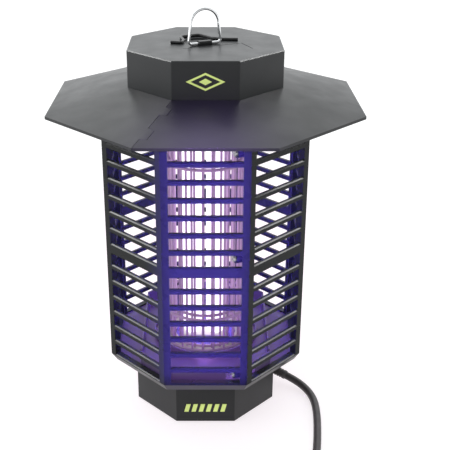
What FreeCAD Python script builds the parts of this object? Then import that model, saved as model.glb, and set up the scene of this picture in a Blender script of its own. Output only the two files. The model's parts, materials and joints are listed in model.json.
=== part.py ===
"""Octagonal lantern-style electric bug zapper with a wire hanging bail and a mains cord.

Frame: millimetres, +Z up, origin on the floor under the lantern's axis, front flat facing -Y.
Every octagon has flats facing +-X and +-Y, and its width is measured across flats.
"""
import FreeCAD, Part
import Sketcher
import math
import os

V = FreeCAD.Vector
UP = V(0, 0, 1)

DIMENSIONS = {
    # base
    "foot_high": 2.0, "foot_radius": 6.0, "cover_thick": 2.5, "base_wide": 125.0, "base_top": 48.1,
    "wall_thick": 2.5, "post_place": 37.0, "post_radius": 4.5,
    # floor plate that the cage stands on
    "floor_low_wide": 160.0, "floor_top": 55.6, "floor_skin": 2.5,
    "lamp_hole_long": 46.0, "lamp_hole_deep": 30.0,
    # slatted guard
    "cage_wide": 169.0, "cage_top": 280.0, "post_deep": 6.0, "slat_deep": 3.2, "window_wide": 58.4,
    "window_high": 11.0, "slat_pitch": 15.0, "first_window": 57.3, "middle_band": 9.0, "window_rows": 7,
    "boss_radius": 4.2, "boss_reach": 81.0, "boss_long": 8.0,
    # insect tray
    "tray_wide": 156.0, "tray_half_across": 57.0, "tray_high": 13.4, "tray_wall": 1.6, "tray_gap": 0.3,
    # top deck, roof and cap
    "deck_thick": 3.0, "hub_wide": 120.0, "hub_bore_wide": 100.0, "roof_wide": 251.4, "roof_low": 281.2,
    "roof_edge": 283.5, "roof_top": 299.6, "roof_thick": 2.4, "seam_gap": 0.3, "tongue_wide": 5.5,
    "cap_wide": 125.0, "cap_top": 330.0, "cap_thick": 3.5, "cap_chamfer": 0.8,
    # hanging bail
    "wire_radius": 1.2, "bail_half_foot": 13.9, "bail_arch_radius": 12.1, "bail_arch_high": 15.6,
    "bail_turn": 22.5, "bail_back": 8.0, "bail_side": -0.7, "foot_bend": 2.6, "saddle_long": 11.0,
    "saddle_deep": 5.6, "pin_play": 0.08,
    # lamp and electrodes
    "tube_radius": 8.5, "tube_spacing": 21.0, "tube_low": 60.0, "tube_high": 262.0, "lamp_side": -1.4,
    "outer_grid_radius": 41.0, "inner_grid_radius": 33.0, "rod_radius": 1.0, "ring_radius": 1.3, "rods": 27,
    "rod_low": 60.0, "rod_high": 266.0, "low_ring": 93.0, "high_ring": 234.0, "insulator_high": 4.4,
    # fasteners
    "screw_radius": 1.5, "screw_play": 0.1, "head_radius": 2.8, "head_high": 2.2, "head_sink": 1.0,
    "screw_circle": 55.0,
    # mains cord
    "cord_radius": 3.5, "exit_level": 12.8, "exit_side": 5.6, "coil_mean_radius": 38.0, "coil_low": 0.6,
}

doc = FreeCAD.newDocument("BugZapper")
sheet = doc.addObject("Spreadsheet::Sheet", "Dims")
PARTS = []


def fill_sheet():
    """Writes each driving dimension and its alias in a row of the sheet."""
    for row, (word, number) in enumerate(DIMENSIONS.items(), start=1):
        sheet.set("A%d" % row, word)
        sheet.set("B%d" % row, str(number))
        sheet.setAlias("B%d" % row, word)
    doc.recompute()


def dim(word):
    """The number in the sheet's cell of that name."""
    return float(sheet.get(word))


def expression(text):
    """Puts the sheet's name before each alias, so that a formula can be written with plain words."""
    words = []
    for token in text.replace("(", " ( ").replace(")", " ) ").split():
        words.append("Dims." + token if token in DIMENSIONS else token)
    return " ".join(words)


def value(text):
    """What a formula of aliases comes to now."""
    return float(sheet.evalExpression(expression(text)))


def bind(item, **formulas):
    """Ties properties of an object to the sheet; a double underscore stands for a dot."""
    for name, formula in formulas.items():
        item.setExpression(name.replace("__", "."), expression(formula))
    return item


def finished(item, label):
    """Names a sub-part and puts it on the list of files to write."""
    item.Label = label
    PARTS.append(item)
    return item


# ---------------------------------------------------------------- sketches and features

def origin_feature(body, role):
    return [item for item in body.Origin.OriginFeatures if item.Role == role][0]


def new_body(name):
    return doc.addObject("PartDesign::Body", name + "_body")


def new_sketch(body, name, plane="XY_Plane", level=None):
    """A sketch on one of the body's own origin planes, lifted along its normal by a formula."""
    sketch = body.newObject("Sketcher::SketchObject", name)
    sketch.AttachmentSupport = (origin_feature(body, plane), [""])
    sketch.MapMode = "FlatFace"
    if level:
        sketch.setExpression("AttachmentOffset.Base.z", expression(level))
    return sketch


def corners(wide):
    """The eight corners of an octagon that is this wide across flats."""
    reach = wide / 2 / math.cos(math.radians(22.5))
    angles = [math.radians(22.5 + 45 * step) for step in range(8)]
    return [V(reach * math.cos(angle), reach * math.sin(angle), 0) for angle in angles]


def close_lines(sketch, points):
    """Joins points with lines, end to end, and returns the first line's number."""
    first = sketch.GeometryCount
    for start, end in zip(points, points[1:] + points[:1]):
        sketch.addGeometry(Part.LineSegment(start, end), False)
    count = len(points)
    for step in range(count):
        following = first + (step + 1) % count
        sketch.addConstraint(Sketcher.Constraint("Coincident", first + step, 2, following, 1))
    return first


def draw_octagon(sketch, wide, tag):
    """An octagon held by a construction circle through its corners, its front side level."""
    reach = value(wide) / 2 / math.cos(math.radians(22.5))
    first = close_lines(sketch, corners(value(wide)))
    circle = sketch.addGeometry(Part.Circle(V(), UP, reach), True)
    sketch.addConstraint(Sketcher.Constraint("Coincident", circle, 3, -1, 1))
    for step in range(8):
        sketch.addConstraint(Sketcher.Constraint("PointOnObject", first + step, 1, circle))
        if step:
            sketch.addConstraint(Sketcher.Constraint("Equal", first, first + step))
    sketch.addConstraint(Sketcher.Constraint("Horizontal", first + 4))
    number = sketch.addConstraint(Sketcher.Constraint("Radius", circle, reach))
    sketch.renameConstraint(number, tag)
    sketch.setExpression("Constraints." + tag, "(" + expression(wide) + ") / (2 * cos(22.5 deg))")


def draw_rectangle(sketch, tag, half_wide, low, high):
    """A rectangle across the sketch's upright axis, from low to high."""
    side, bottom, top = value(half_wide), value(low), value(high)
    corners = ((-side, bottom), (side, bottom), (side, top), (-side, top))
    first = close_lines(sketch, [V(across, up, 0) for across, up in corners])
    for step, kind in ((1, "Vertical"), (2, "Horizontal"), (3, "Vertical")):
        sketch.addConstraint(Sketcher.Constraint(kind, first + step))
    sketch.addConstraint(Sketcher.Constraint("Symmetric", first, 1, first, 2, -2))
    for word, kind, ends, number, formula in (
        ("wide", "DistanceX", (first, 1, first, 2), 2 * side, "2 * (" + half_wide + ")"),
        ("low", "DistanceY", (-1, 1, first, 1), bottom, low),
        ("tall", "DistanceY", (first, 1, first + 2, 1), top - bottom, "(" + high + ") - (" + low + ")"),
    ):
        name = tag + "_" + word
        index = sketch.addConstraint(Sketcher.Constraint(kind, *ends, number))
        sketch.renameConstraint(index, name)
        sketch.setExpression("Constraints." + name, expression(formula))


def octagon_sketch(body, name, level, *widths):
    sketch = new_sketch(body, name, level=level)
    for step, wide in enumerate(widths):
        draw_octagon(sketch, wide, "reach%d" % step)
    return sketch


def pad(body, name, sketch, length):
    feature = body.newObject("PartDesign::Pad", name)
    feature.Profile = sketch
    bind(feature, Length=length)
    return feature


def pocket(body, name, sketch, length=None, along_normal=True):
    """Cuts a sketch away, to a length or right through, along the sketch plane's normal or against it."""
    feature = body.newObject("PartDesign::Pocket", name)
    feature.Profile = sketch
    feature.Reversed = along_normal
    if length:
        bind(feature, Length=length)
    else:
        feature.Type = 1
    return feature


def octagon_pad(body, name, low, high, *widths):
    return pad(body, name, octagon_sketch(body, name + "_outline", low, *widths), "(%s) - (%s)" % (high, low))


def octagon_pocket(body, name, low, high, *widths):
    sketch = octagon_sketch(body, name + "_outline", low, *widths)
    return pocket(body, name, sketch, "(%s) - (%s)" % (high, low))


def octagon_loft(body, name, low_level, low_wide, high_level, high_wide, cut=False):
    kind = "PartDesign::SubtractiveLoft" if cut else "PartDesign::AdditiveLoft"
    low = octagon_sketch(body, name + "_low", low_level, low_wide)
    high = octagon_sketch(body, name + "_high", high_level, high_wide)
    feature = body.newObject(kind, name)
    feature.Profile = low
    feature.Sections = [high]
    feature.Ruled = True
    return feature


def pattern(body, name, originals, count, angle=360):
    feature = body.newObject("PartDesign::PolarPattern", name)
    feature.Originals = originals
    feature.Axis = (origin_feature(body, "Z_Axis"), [""])
    feature.Angle = angle
    feature.Occurrences = count
    body.Tip = feature
    return feature


def window_grid(body, name, opening):
    """Repeats one window up its facet, and then round the half's four facets."""
    feature = body.newObject("PartDesign::MultiTransform", name)
    feature.Originals = [opening]
    rows = body.newObject("PartDesign::LinearPattern", name + "_rows")
    rows.Direction = (origin_feature(body, "Z_Axis"), [""])
    bind(rows, Length="slat_pitch * (window_rows - 1)", Occurrences="window_rows")
    facets = body.newObject("PartDesign::PolarPattern", name + "_facets")
    facets.Axis = (origin_feature(body, "Z_Axis"), [""])
    facets.Angle = 135
    facets.Occurrences = 4
    facets.Reversed = True
    feature.Transformations = [rows, facets]
    body.Tip = feature


def body_cylinder(body, name, centre, radius, height, along=UP, cut=False):
    """A round boss or hole added to a body, its foot at a point and its axis along a direction."""
    kind = "PartDesign::SubtractiveCylinder" if cut else "PartDesign::AdditiveCylinder"
    feature = body.newObject(kind, name)
    bind(feature, Radius=radius, Height=height)
    feature.Placement = FreeCAD.Placement(centre, FreeCAD.Rotation(UP, along))
    return feature


def body_box(body, name, corner, size, cut=False):
    """A block added to a body or cut from it; size holds three formulas."""
    kind = "PartDesign::SubtractiveBox" if cut else "PartDesign::AdditiveBox"
    feature = body.newObject(kind, name)
    bind(feature, Length=size[0], Width=size[1], Height=size[2])
    feature.Placement = FreeCAD.Placement(corner, FreeCAD.Rotation())
    return feature


# ---------------------------------------------------------------- plain Part objects

def cylinder(name, foot, radius, height, along=UP):
    item = doc.addObject("Part::Cylinder", name)
    bind(item, Radius=radius, Height=height)
    item.Placement = FreeCAD.Placement(foot, FreeCAD.Rotation(UP, along))
    return item


def block(name, corner, size):
    """A block from its lowest corner; size holds three formulas or numbers as text."""
    item = doc.addObject("Part::Box", name)
    bind(item, Length=size[0], Width=size[1], Height=size[2])
    item.Placement = FreeCAD.Placement(corner, FreeCAD.Rotation())
    return item


def fuse(name, *items):
    item = doc.addObject("Part::MultiFuse", name)
    item.Shapes = list(items)
    return item


def cut(name, base, *tools):
    """Takes one or more tools out of a base, one after another."""
    for step, tool in enumerate(tools):
        item = doc.addObject("Part::Cut", "%s_%d" % (name, step))
        item.Base = base
        item.Tool = tool
        base = item
    return base


def group(label, items):
    """Several separate solids of one kind, kept together in one node."""
    item = doc.addObject("Part::Compound", label + "_group")
    item.Links = items
    return finished(item, label)


def screw(name, head_foot, along, length):
    """A screw: its head's outer end at a point, its shank along a direction."""
    head = cylinder(name + "_head", head_foot, "head_radius", "head_high", along)
    under_head = head_foot + along * (dim("head_high") - 0.5)
    shank = cylinder(name + "_shank", under_head, "screw_radius", length, along)
    return fuse(name, head, shank)


def turned(x, y, angle):
    radians = math.radians(angle)
    return V(x * math.cos(radians) - y * math.sin(radians), x * math.sin(radians) + y * math.cos(radians), 0)


def on_circle(radius, angle, level=0.0):
    return turned(radius, 0, angle) + UP * level


# ---------------------------------------------------------------- base

BASE_POSTS = [(x, y) for x in (-1, 1) for y in (-1, 1)]


def post_point(signs, level):
    return V(signs[0] * dim("post_place"), signs[1] * dim("post_place"), level)


def make_base_housing():
    """The octagonal skirt under the cage, open below, with four screw posts and the cord's hole."""
    body = new_body("base_housing")
    octagon_pad(body, "skirt", "foot_high", "base_top", "base_wide", "base_wide - 2 * wall_thick")
    octagon_pad(body, "top_web", "base_top - wall_thick", "base_top", "base_wide", "hub_bore_wide")
    floor = dim("foot_high") + dim("cover_thick")
    for step, signs in enumerate(BASE_POSTS):
        foot = post_point(signs, floor)
        body_cylinder(body, "post%d" % step, foot, "post_radius", "base_top - foot_high - cover_thick")
        body_cylinder(body, "post_hole%d" % step, foot, "screw_radius + screw_play", "60", cut=True)
    exit_foot = V(dim("base_wide") / 2 - 8, dim("exit_side"), dim("exit_level"))
    hole = body_cylinder(body, "cord_hole", exit_foot, "5.2", "12", V(1, 0, 0), cut=True)
    body.Tip = hole
    return finished(body, "base_housing")


def make_base_cover():
    body = new_body("base_bottom_cover")
    octagon_pad(body, "plate", "foot_high", "foot_high + cover_thick", "base_wide - 2 * wall_thick - 0.4")
    for step, signs in enumerate(BASE_POSTS):
        low = post_point(signs, dim("foot_high") - 1)
        body_cylinder(body, "hole%d" % step, low, "screw_radius + screw_play", "8", cut=True)
        seat = post_point(signs, dim("head_sink"))
        body_cylinder(body, "seat%d" % step, seat, "head_radius + 0.2", "head_high + 0.02", cut=True)
    for step, angle in enumerate((45, 135, 225, 315)):
        body_cylinder(body, "peg_hole%d" % step, on_circle(30, angle, 0), "2.05", "8", cut=True)
    return finished(body, "base_bottom_cover")


def make_feet():
    """Four rubber feet with pegs pushed through the bottom cover."""
    feet = []
    for step, angle in enumerate((45, 135, 225, 315)):
        pad_part = cylinder("foot%d_pad" % step, on_circle(30, angle), "foot_radius", "foot_high")
        peg = cylinder("foot%d_peg" % step, on_circle(30, angle, 1), "2", "foot_high + cover_thick - 1")
        feet.append(fuse("foot%d" % step, pad_part, peg))
    return group("rubber_feet", feet)


def make_base_screws():
    level = dim("head_sink")
    return group("base_screws", [
        screw("base_screw%d" % step, post_point(signs, level), UP, "49")
        for step, signs in enumerate(BASE_POSTS)
    ])


def make_cage_floor():
    """The flared plate that closes the base's top and carries the cage, hollow underneath."""
    body = new_body("cage_floor")
    octagon_loft(body, "plate", "base_top", "floor_low_wide", "floor_top", "cage_wide")
    roof = "floor_top - floor_skin"
    octagon_pocket(body, "rim_hollow", "base_top", roof, "floor_low_wide - 7", "base_wide + 3")
    octagon_pocket(body, "inner_hollow", "base_top", roof, "hub_bore_wide")
    for step, signs in enumerate(BASE_POSTS):
        low = post_point(signs, dim("base_top") - 1)
        body_cylinder(body, "hole%d" % step, low, "screw_radius + screw_play", "5.5", cut=True)
    corner = V(dim("lamp_side") - dim("lamp_hole_long") / 2, -dim("lamp_hole_deep") / 2, dim("base_top"))
    body_box(body, "lamp_hole", corner, ("lamp_hole_long", "lamp_hole_deep", "20"), cut=True)
    return finished(body, "cage_floor")


# ---------------------------------------------------------------- electrics in the base

def make_board():
    """The circuit board, on its four standoffs above the bottom cover."""
    board = block("board_plate", V(-31, -25, 12), ("62", "50", "1.6"))
    holes = [cylinder("board_hole%d" % step, V(x * 27, y * 21, 10), "1.6", "6")
             for step, (x, y) in enumerate(BASE_POSTS)]
    finished(cut("circuit_board", board, *holes), "circuit_board")
    level = dim("foot_high") + dim("cover_thick")
    return group("board_standoffs", [
        cylinder("standoff%d" % step, V(x * 27, y * 21, level), "3", "12 - foot_high - cover_thick")
        for step, (x, y) in enumerate(BASE_POSTS)
    ])


def make_board_parts():
    """What the board carries: ballast, voltage multiplier, fuse, discharge resistor and terminals."""
    top = 13.6
    core = cut("ballast_iron", block("core_block", V(-27, -14, top), ("26", "28", "20")),
               block("core_window_a", V(-21, -15, top + 4), ("4", "30", "12")),
               block("core_window_b", V(-11, -15, top + 4), ("4", "30", "12")))
    finished(core, "ballast_core")
    winding = cut("ballast_coil", block("coil_block", V(-20.8, -17, top + 4.2), ("13.6", "34", "11.6")),
                  block("coil_inside", V(-17, -14, top + 4), ("6", "28", "12")))
    finished(winding, "ballast_winding")
    capacitors = [cylinder("capacitor%d" % step, V(6 + 11 * step, 14, top), "4.6", "17")
                  for step in range(3)]
    group("multiplier_capacitors", capacitors)
    diodes = [cylinder("diode%d" % step, V(4 + 6 * step, -2, top + 1.6), "1.5", "6", V(0, 1, 0))
              for step in range(4)]
    group("multiplier_diodes", diodes)
    finished(cylinder("resistor_rod", V(3, -8, top + 2.2), "2.2", "12", V(1, 0, 0)), "discharge_resistor")
    fuse_ends = [cylinder("fuse_end%d" % step, V(2 + 15 * step, -15, top + 3), "2.9", "5", V(1, 0, 0))
                 for step in range(2)]
    fuse_glass = cylinder("fuse_glass", V(4, -15, top + 3), "2.5", "16", V(1, 0, 0))
    finished(fuse("fuse_whole", fuse_glass, *fuse_ends), "fuse")
    terminal = block("terminal_body", V(24.5, -14, top), ("6", "22", "9"))
    ways = [cylinder("way%d" % step, V(20, -8.5 + 10 * step, top + 3.2), "1.3", "14", V(1, 0, 0))
            for step in range(2)]
    return finished(cut("terminal_cut", terminal, *ways), "terminal_block")


def lead(points, radius):
    """An insulated wire along straight runs joined by arcs."""
    return rounded_tube(points, radius, [6.0] * (len(points) - 2))


def make_leads():
    """Leads inside the base: mains to terminals, ballast to lamp, multiplier to electrodes."""
    gland = V(50, dim("exit_side"), dim("exit_level"))
    wires = [lead([gland + V(0, side * 2.2, 0), V(42, side * 3.2 + 2, 17), V(33, side * 5, 17)], 1.1)
             for side in (-1, 1)]
    feature_group("mains_leads", wires)
    lamp = []
    for side in (-1, 1):
        path = ((-14, side * 19, 24), (-14, side * 19, 32), (-8, side * 12, 36), (-8, side * 7, 36.6))
        lamp.append(lead([V(*place) for place in path], 0.9))
    feature_group("lamp_leads", lamp)
    grid = []
    for step, reach in enumerate((dim("inner_grid_radius"), dim("outer_grid_radius"))):
        angle = 90 if step else 60
        end = on_circle(reach, angle, dim("base_top") + 3)
        start = V(14 + 4 * step, 20, 31)
        grid.append(lead([start, start + V(0, 0, 7), end - V(0, 0, 8), end], 1.1))
    return feature_group("grid_leads", grid)


# ---------------------------------------------------------------- guard

WINDOW_SETS = (
    "first_window",
    "first_window + window_rows * slat_pitch + middle_band - ( slat_pitch - window_high )",
)
SPLIT_POSTS = (112.5, 292.5)
PLAIN_POSTS = (67.5, 157.5, 247.5, 337.5)


def window_level(row, which):
    """A formula for a window's lower edge."""
    return "%s + %d * slat_pitch" % (WINDOW_SETS[which], row)


def boss_levels():
    """Heights of the guard's joining screws: the lowest row, the row over the wide band and the top row."""
    half = dim("window_high") / 2
    rows = int(dim("window_rows")) - 1
    return [value(window_level(*which)) + half for which in ((0, 0), (0, 1), (rows, 1))]


def split_sketch(body, name, radius):
    """Circles for the joining screws, on the upright plane through the two parted posts."""
    sketch = new_sketch(body, name, "YZ_Plane")
    sketch.AttachmentOffset = FreeCAD.Placement(V(), FreeCAD.Rotation(V(0, 1, 0), 22.5))
    for side in (-1, 1):
        for level in boss_levels():
            draw_circle(sketch, side * dim("boss_reach"), level, radius)
    return sketch


def draw_circle(sketch, across, up, radius):
    circle = sketch.addGeometry(Part.Circle(V(across, up, 0), UP, value(radius)), False)
    tag = "radius%d" % circle
    sketch.renameConstraint(sketch.addConstraint(Sketcher.Constraint("Radius", circle, value(radius))), tag)
    sketch.setExpression("Constraints." + tag, expression(radius))
    for kind, place in (("DistanceX", across), ("DistanceY", up)):
        sketch.addConstraint(Sketcher.Constraint(kind, -1, 1, circle, 3, place))


def make_guard(label, side):
    """Half of the slatted guard. The halves part at two corner posts and are screwed together there."""
    body = new_body(label)
    octagon_pad(body, "wall", "floor_top", "cage_top", "cage_wide", "cage_wide - 2 * post_deep")
    far = dim("cage_wide")
    half = new_sketch(body, "other_half")
    corners = ((0, -far), (0, far), (side * far, far), (side * far, -far))
    close_lines(half, [turned(along, back, 22.5) for along, back in corners])
    pocket(body, "parting", half)
    for which, name in enumerate(("lower", "upper")):
        low = window_level(0, which)
        outline = new_sketch(body, name + "_window_outline", "XZ_Plane")
        draw_rectangle(outline, name, "window_wide / 2", low, low + " + window_high")
        opening = pocket(body, name + "_window", outline, along_normal=side > 0)
        window_grid(body, name + "_windows", opening)
    thinning = new_sketch(body, "thinning_outline", "XZ_Plane")
    top = window_level(int(dim("window_rows")) - 1, 1) + " + window_high"
    draw_rectangle(thinning, "back", "window_wide / 2", "first_window", top)
    recess = pocket(body, "thinning", thinning, "cage_wide / 2 - slat_deep", along_normal=side > 0)
    pattern(body, "facets", [recess], 4, 135).Reversed = True
    bosses = pad(body, "bosses", split_sketch(body, "boss_outline", "boss_radius"), "boss_long")
    bosses.Reversed = side > 0
    holes = pocket(body, "boss_holes", split_sketch(body, "boss_hole_outline", "screw_radius + screw_play"))
    holes.Midplane = True
    posts = new_sketch(body, "deck_boss_outline", level="cage_top - 11")
    post_holes = new_sketch(body, "deck_hole_outline", level="cage_top - 11")
    own = [angle for angle in PLAIN_POSTS if math.cos(math.radians(angle - 22.5)) * side < 0]
    for angle in own:
        place = on_circle(dim("boss_reach"), angle)
        draw_circle(posts, place.x, place.y, "boss_radius")
        draw_circle(post_holes, place.x, place.y, "screw_radius + screw_play")
    pad(body, "deck_bosses", posts, "11")
    body.Tip = pocket(body, "deck_holes", post_holes)
    return finished(body, label)


def make_guard_screws():
    split = on_circle(1, 22.5)
    screws = []
    for post, angle in enumerate(SPLIT_POSTS):
        for step, level in enumerate(boss_levels()):
            centre = on_circle(dim("boss_reach"), angle, level)
            start = centre - split * (dim("boss_long") + dim("head_high") + 0.02)
            screws.append(screw("guard_screw%d_%d" % (post, step), start, split, "2 * boss_long - 1"))
    return group("guard_screws", screws)


def make_tray():
    """The insect tray round the electrodes: a low wall with slanted front corners, open above."""
    body = new_body("catch_tray")
    low, high = "floor_top + tray_gap", "floor_top + tray_high"
    octagon_pad(body, "tray", low, high, "tray_wide")
    octagon_pocket(body, "hollow", low + " + tray_wall", high, "tray_wide - 2 * tray_wall")
    reach = dim("tray_half_across")
    level = value(low)
    for side in (-1, 1):
        corner = V(reach if side > 0 else -reach - 40, -90, level - 1)
        body_box(body, "side_cut%d" % (side + 1), corner, ("40", "180", "tray_high + 2"), cut=True)
        wall = V(reach - dim("tray_wall") if side > 0 else -reach, -50, level)
        body_box(body, "side_wall%d" % (side + 1), wall, ("tray_wall", "100", "tray_high - tray_gap"))
    hole = dim("outer_grid_radius") + 5
    body_cylinder(body, "collar", V(0, 0, level), "%s + tray_wall" % hole, "tray_high - tray_gap - 5")
    split = on_circle(1, 22.5)
    for step, angle in enumerate(SPLIT_POSTS):
        start = on_circle(dim("boss_reach"), angle, boss_levels()[0]) - split * (dim("boss_long") + 6)
        wide, long = "boss_radius + 1", "2 * boss_long + 12"
        body_cylinder(body, "screw_notch%d" % step, start, wide, long, split, cut=True)
    body.Tip = body_cylinder(body, "centre_hole", V(0, 0, level - 1), "%s" % hole, "tray_high + 2", cut=True)
    return finished(body, "catch_tray")


# ---------------------------------------------------------------- lamp and electrodes

def make_lamp():
    """A long twin-tube ultraviolet lamp standing in a holder that reaches down into the base."""
    middle = dim("lamp_side")
    body = new_body("lamp_tubes")
    for side in (-1, 1):
        foot = V(middle + side * dim("tube_spacing") / 2, 0, dim("tube_low"))
        body_cylinder(body, "tube%d" % (side + 1), foot, "tube_radius", "tube_high - tube_low - tube_radius")
        dome = body.newObject("PartDesign::AdditiveSphere", "dome%d" % (side + 1))
        bind(dome, Radius="tube_radius")
        dome.Placement.Base = foot + UP * (dim("tube_high") - dim("tube_low") - dim("tube_radius"))
    bridge = V(middle - dim("tube_spacing") / 2, 0, dim("tube_high") - 14)
    body.Tip = body_cylinder(body, "bridge", bridge, "4", "tube_spacing", V(1, 0, 0))
    finished(body, "lamp_tubes")
    cap = block("cap_block", V(middle - 20, -11.5, 46), ("40", "23", "tube_low - 46"))
    finished(cap, "lamp_cap")
    pins = [cylinder("pin%d" % step, V(middle - 12 + 8 * step, 0, 40.2), "1.2", "5.8") for step in range(4)]
    group("lamp_pins", pins)
    sockets = [cylinder("socket%d" % step, V(middle - 12 + 8 * step, 0, 39.5), "1.3", "8")
               for step in range(4)]
    holder = cut("holder_cut", block("holder_block", V(middle - 22.5, -14, 38), ("45", "28", "17")),
                 block("holder_mouth", V(middle - 20.1, -11.6, 46), ("40.2", "23.2", "20")), *sockets)
    finished(holder, "lamp_holder")
    top = dim("tube_high")
    clip = cut("clip_cut", block("clip_block", V(middle - 23, -5, top - 12), ("46", "10", "15")),
               block("clip_mouth", V(middle - 19.1, -6, top - 13), ("38.2", "12", "13.2")))
    stem = block("clip_stem", V(middle - 6, -5, top + 2), ("12", "10", "cage_top - tube_high - 2"))
    return finished(fuse("clip_whole", clip, stem), "lamp_top_clip")


def make_electrode(label, radius, twist):
    """A cage of upright rods welded to four rings, concentric with the lamp."""
    body = new_body(label)
    reach = value(radius)
    foot = on_circle(reach, twist, dim("rod_low"))
    rod = body_cylinder(body, "rod", foot, "rod_radius", "rod_high - rod_low")
    pattern(body, "rods", [rod], int(dim("rods")))
    for step, level in enumerate(("rod_low + 2", "low_ring", "high_ring", "rod_high - 2")):
        ring = body.newObject("PartDesign::AdditiveTorus", "ring%d" % step)
        bind(ring, Radius1=radius, Radius2="ring_radius")
        ring.Placement = FreeCAD.Placement(V(0, 0, value(level)), FreeCAD.Rotation())
    body.Tip = ring
    return finished(body, label)


def make_insulators():
    """Two rings that hold the electrodes' rods apart, the upper one hung from the deck on four standoffs."""
    for label, low in (("lower_insulator", "floor_top"), ("upper_insulator", "rod_high")):
        foot = V(0, 0, value(low))
        outer = cylinder(label + "_disc", foot, "outer_grid_radius + 4", "insulator_high")
        hole = cylinder(label + "_hole", foot - UP, "inner_grid_radius - 5", "insulator_high + 2")
        finished(cut(label + "_ring", outer, hole), label)
    level = dim("rod_high") + dim("insulator_high")
    long = "cage_top - rod_high - insulator_high"
    return group("insulator_standoffs", [
        cylinder("hanger%d" % step, on_circle(37, 45 + 90 * step, level), "3", long)
        for step in range(4)
    ])


# ---------------------------------------------------------------- deck, roof and cap

ROOF_SCREWS = (0, 90, 180, 270)
CAP_SCREWS = (45, 135, 225, 315)


def make_deck():
    """The plate that closes the cage, with a raised hub that the roof and the cap are screwed to."""
    body = new_body("top_deck")
    octagon_pad(body, "plate", "cage_top", "cage_top + deck_thick", "cage_wide - 2")
    octagon_pad(body, "hub", "cage_top", "roof_top - roof_thick", "hub_wide", "hub_bore_wide")
    for step, angle in enumerate(ROOF_SCREWS + CAP_SCREWS):
        centre = on_circle(dim("screw_circle"), angle, dim("cage_top") - 1)
        body_cylinder(body, "hub_hole%d" % step, centre, "screw_radius + screw_play", "30", cut=True)
    for step, angle in enumerate(PLAIN_POSTS):
        centre = on_circle(dim("boss_reach"), angle, dim("cage_top") - 1)
        body_cylinder(body, "post_hole%d" % step, centre, "screw_radius + screw_play", "8", cut=True)
    return finished(body, "top_deck")


def make_deck_screws():
    level = dim("cage_top") + dim("deck_thick") + dim("head_high")
    return group("deck_screws", [
        screw("deck_screw%d" % step, on_circle(dim("boss_reach"), angle, level), V(0, 0, -1), "12")
        for step, angle in enumerate(PLAIN_POSTS)
    ])


def seam(side):
    """The roof's parting line from edge to edge, with two tongues on each ridge, set back by half the gap."""
    cap_corner = dim("cap_wide") / 2 / math.cos(math.radians(22.5))
    ridge = dim("roof_wide") / 2 / math.cos(math.radians(22.5)) - cap_corner
    steps = [(cap_corner + share * ridge) for share in (0.15, 0.32, 0.60, 0.82)]
    back = -side * dim("seam_gap") / 2
    wide = dim("tongue_wide")
    outline = [(0, 0)]
    for inner, outer in (steps[:2], steps[2:]):
        outline += [(inner, 0), (inner + 1.5, wide), (outer - 1.5, wide), (outer, 0)]
    outline += [(dim("roof_wide"), 0)]
    front = [turned(reach, aside + back, 247.5) for reach, aside in outline]
    rear = [turned(reach, aside - back, 67.5) for reach, aside in outline]
    return rear[:0:-1] + front[1:]


def make_roof(label, side):
    """Half of the roof: a shallow eight-sided skirt with a flat inner ring under the cap."""
    body = new_body(label)
    octagon_pad(body, "edge", "roof_low", "roof_edge", "roof_wide")
    octagon_loft(body, "slope", "roof_edge", "roof_wide", "roof_top", "cap_wide")
    inside = "roof_top - roof_thick"
    octagon_loft(body, "underside", "roof_low", "roof_wide - 4", inside, "cap_wide - 2", cut=True)
    octagon_pocket(body, "middle", "roof_low", "roof_top + 1", "hub_bore_wide")
    for step, angle in enumerate(ROOF_SCREWS + CAP_SCREWS):
        centre = on_circle(dim("screw_circle"), angle, dim("roof_top") - 4)
        body_cylinder(body, "hole%d" % step, centre, "screw_radius + screw_play", "6", cut=True)
    line = seam(side)
    far = dim("roof_wide")
    beyond = [turned(far, side * far, 247.5), turned(-far, side * far, 247.5)]
    other = new_sketch(body, "other_half")
    close_lines(other, line + beyond)
    body.Tip = pocket(body, "parting", other)
    return finished(body, label)


def make_roof_screws():
    level = dim("roof_top") + dim("head_high")
    return group("roof_screws", [
        screw("roof_screw%d" % step, on_circle(dim("screw_circle"), angle, level), V(0, 0, -1), "12")
        for step, angle in enumerate(ROOF_SCREWS)
    ])


def bail_point(along, back, level=0.0):
    """A point given along the bail's hinge line and behind it, on the cap's top."""
    middle = V(dim("bail_side"), -dim("bail_back"), dim("cap_top") + level)
    return turned(along, back, dim("bail_turn")) + middle


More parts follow.
